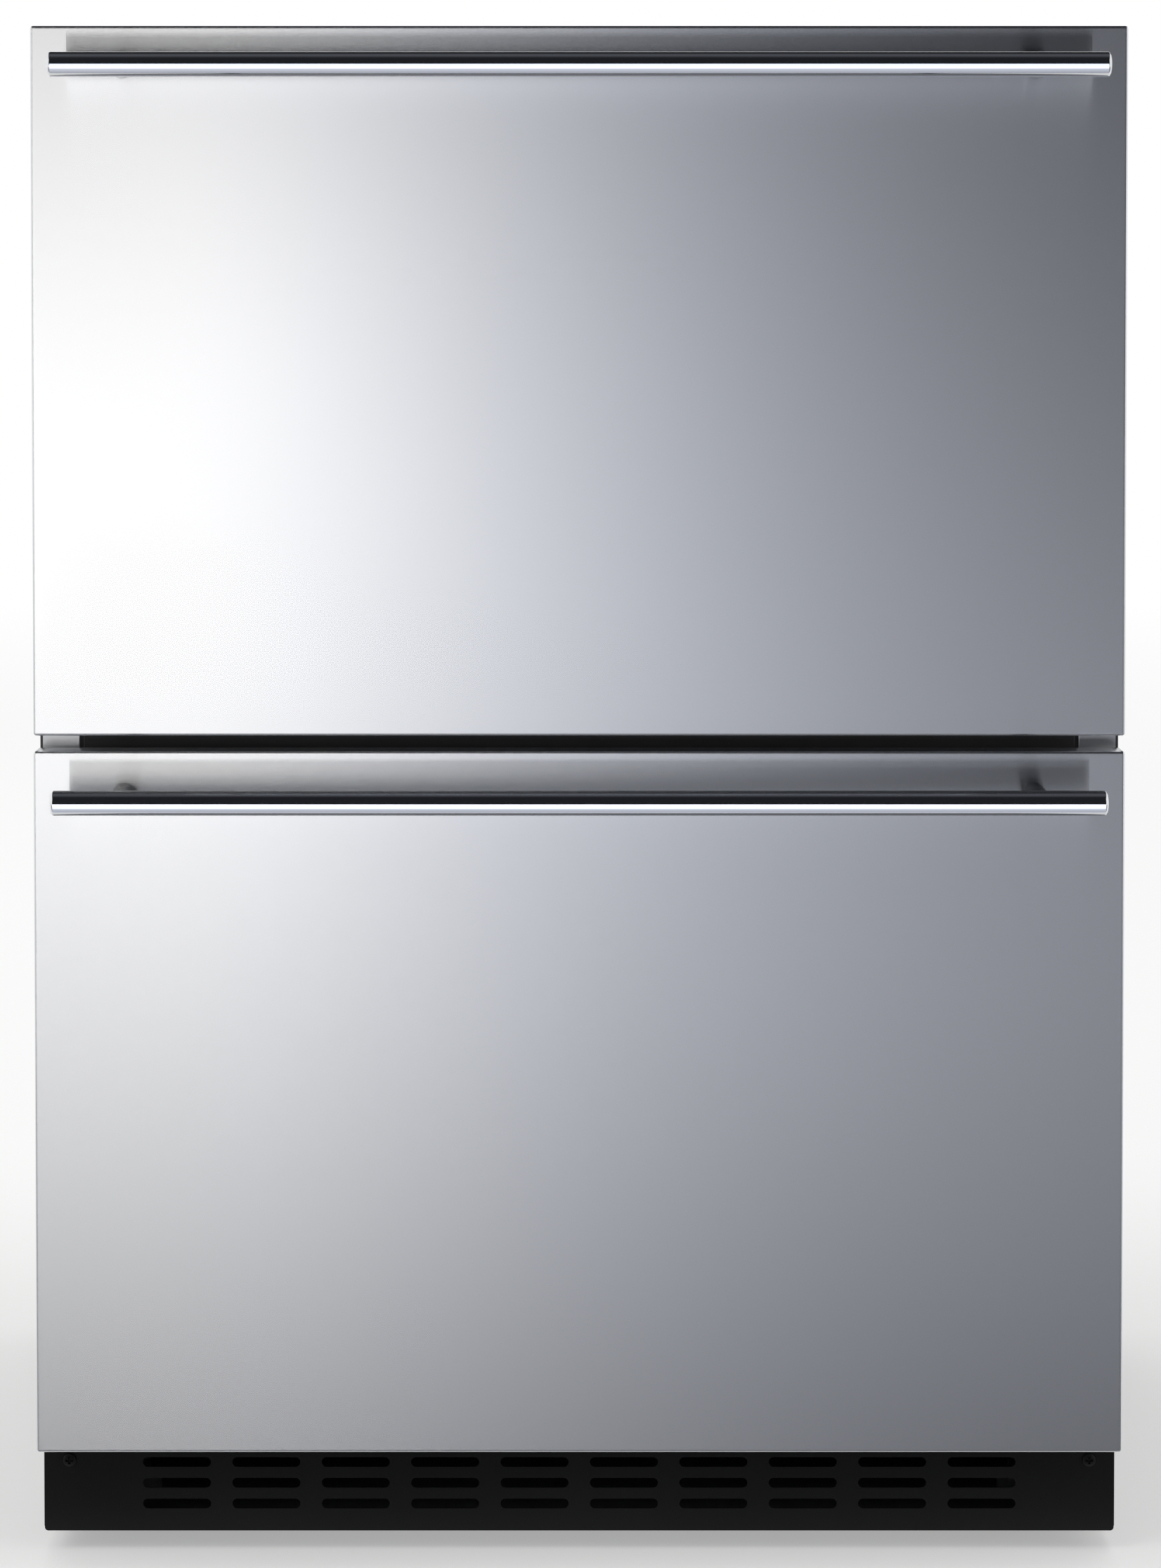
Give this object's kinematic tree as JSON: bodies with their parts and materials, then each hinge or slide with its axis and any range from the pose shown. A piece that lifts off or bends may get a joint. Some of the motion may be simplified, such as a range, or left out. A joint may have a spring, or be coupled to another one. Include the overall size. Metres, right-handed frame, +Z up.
{
  "type": "built-in drawer freezer",
  "caption": "Undercounter freezer with stacked stainless drawers on full-extension slides, bar handles and a slotted black kick plate.",
  "frame": {"origin": "on the floor under the centre of the whole object, handles included", "axes": "+Z up, -Y out of the drawer fronts towards the user, +X to the user's right"},
  "size_m": [0.6, 0.6568, 0.85],
  "materials": {
    "front_steel": "satin",
    "polished_steel": "polished",
    "cabinet_steel": "satin",
    "zinc_steel": "matte",
    "slide_steel": "satin",
    "black_frame": "satin",
    "kick_black": "satin",
    "white_liner": "satin",
    "white_plastic": "satin",
    "grey_plastic": "satin",
    "bin_plastic": "satin",
    "grey_gasket": "matte",
    "black_rubber": "matte",
    "black_plastic": "matte",
    "compressor_black": "gloss",
    "coil_black": "satin",
    "coil_aluminium": "satin",
    "motor_grey": "satin",
    "copper": "satin",
    "lamp_glass": "satin",
    "foam": "matte"
  },
  "bodies": {
    "cabinet": {"outer_wrapper": "cabinet_steel", "stepped_floor": "zinc_steel", "rear_panel": "zinc_steel", "base_pan": "zinc_steel", "front_frame": "black_frame", "mullion_core": "black_frame", "inner_liner": "white_liner", "cabinet_foam": "foam", "kick_plate": "kick_black", "machine_cover": "kick_black", "cabinet_screws": "kick_black", "counter_brackets": "zinc_steel", "compressor": "compressor_black", "compressor_mounts": "black_rubber", "condenser_coil": "coil_black", "fan_shroud": "black_plastic", "condenser_motor": "motor_grey", "filter_drier": "copper", "refrigerant_lines": "copper", "drain_pan": "black_plastic", "drain_tube": "white_plastic", "evaporator_coil": "coil_aluminium", "evaporator_cover": "white_plastic", "evaporator_motor": "white_plastic", "control_box": "white_plastic", "control_panel": "grey_plastic", "lamp_lens": "lamp_glass", "temperature_sensor": "white_plastic", "power_inlet": "black_plastic", "cabinet_slides": "slide_steel"},
    "upper_drawer": {"upper_front_skin": "front_steel", "upper_front_foam": "foam", "upper_inner_panel": "white_liner", "upper_gasket": "grey_gasket", "upper_handle_bar": "polished_steel", "upper_handle_posts": "polished_steel", "upper_handle_screws": "zinc_steel", "upper_side_frames": "slide_steel", "upper_runners": "slide_steel", "upper_bin": "bin_plastic"},
    "upper_middle_slides": {"upper_middle_slides": "slide_steel"},
    "lower_drawer": {"lower_front_skin": "front_steel", "lower_front_foam": "foam", "lower_inner_panel": "white_liner", "lower_gasket": "grey_gasket", "lower_handle_bar": "polished_steel", "lower_handle_posts": "polished_steel", "lower_handle_screws": "zinc_steel", "lower_side_frames": "slide_steel", "lower_runners": "slide_steel", "lower_bin": "bin_plastic"},
    "lower_middle_slides": {"lower_middle_slides": "slide_steel"},
    "condenser_fan": {"condenser_fan": "black_plastic"},
    "evaporator_fan": {"evaporator_fan": "white_plastic"},
    "colder_button": {"colder_button": "white_plastic"},
    "warmer_button": {"warmer_button": "white_plastic"},
    "front_left_foot": {"front_left_foot": "black_plastic"},
    "front_right_foot": {"front_right_foot": "black_plastic"},
    "rear_left_foot": {"rear_left_foot": "black_plastic"},
    "rear_right_foot": {"rear_right_foot": "black_plastic"}
  },
  "joints": [
    {"name": "upper_drawer_slide", "type": "slide", "parent": "cabinet", "child": "upper_drawer", "axis": [0, -1, 0], "range_m": [0, 0.4]},
    {"name": "upper_middle_slide", "type": "slide", "parent": "cabinet", "child": "upper_middle_slides", "axis": [0, -1, 0], "range_m": [0, 0.2]},
    {"name": "lower_drawer_slide", "type": "slide", "parent": "cabinet", "child": "lower_drawer", "axis": [0, -1, 0], "range_m": [0, 0.4]},
    {"name": "lower_middle_slide", "type": "slide", "parent": "cabinet", "child": "lower_middle_slides", "axis": [0, -1, 0], "range_m": [0, 0.2]},
    {"name": "condenser_fan_spin", "type": "hinge", "parent": "cabinet", "child": "condenser_fan", "pos_m": [-0.05, 0.23037, 0.1275], "axis": [1, 0, 0], "continuous": true},
    {"name": "evaporator_fan_spin", "type": "hinge", "parent": "cabinet", "child": "evaporator_fan", "pos_m": [0, 0.22, 0.715], "axis": [0, 1, 0], "continuous": true},
    {"name": "colder_press", "type": "slide", "parent": "cabinet", "child": "colder_button", "axis": [0, 1, 0], "range_m": [0, 0.001], "stiffness_N_per_m": 400, "springref_m": -0.001},
    {"name": "warmer_press", "type": "slide", "parent": "cabinet", "child": "warmer_button", "axis": [0, 1, 0], "range_m": [0, 0.001], "stiffness_N_per_m": 400, "springref_m": -0.001},
    {"name": "front_left_foot_screw", "type": "slide", "parent": "cabinet", "child": "front_left_foot", "axis": [0, 0, -1], "range_m": [0, 0.02]},
    {"name": "front_right_foot_screw", "type": "slide", "parent": "cabinet", "child": "front_right_foot", "axis": [0, 0, -1], "range_m": [0, 0.02]},
    {"name": "rear_left_foot_screw", "type": "slide", "parent": "cabinet", "child": "rear_left_foot", "axis": [0, 0, -1], "range_m": [0, 0.02]},
    {"name": "rear_right_foot_screw", "type": "slide", "parent": "cabinet", "child": "rear_right_foot", "axis": [0, 0, -1], "range_m": [0, 0.02]}
  ],
  "couplings": [
    {"joint": "upper_middle_slide", "follows": "upper_drawer_slide", "ratio": 0.5},
    {"joint": "lower_middle_slide", "follows": "lower_drawer_slide", "ratio": 0.5}
  ]
}
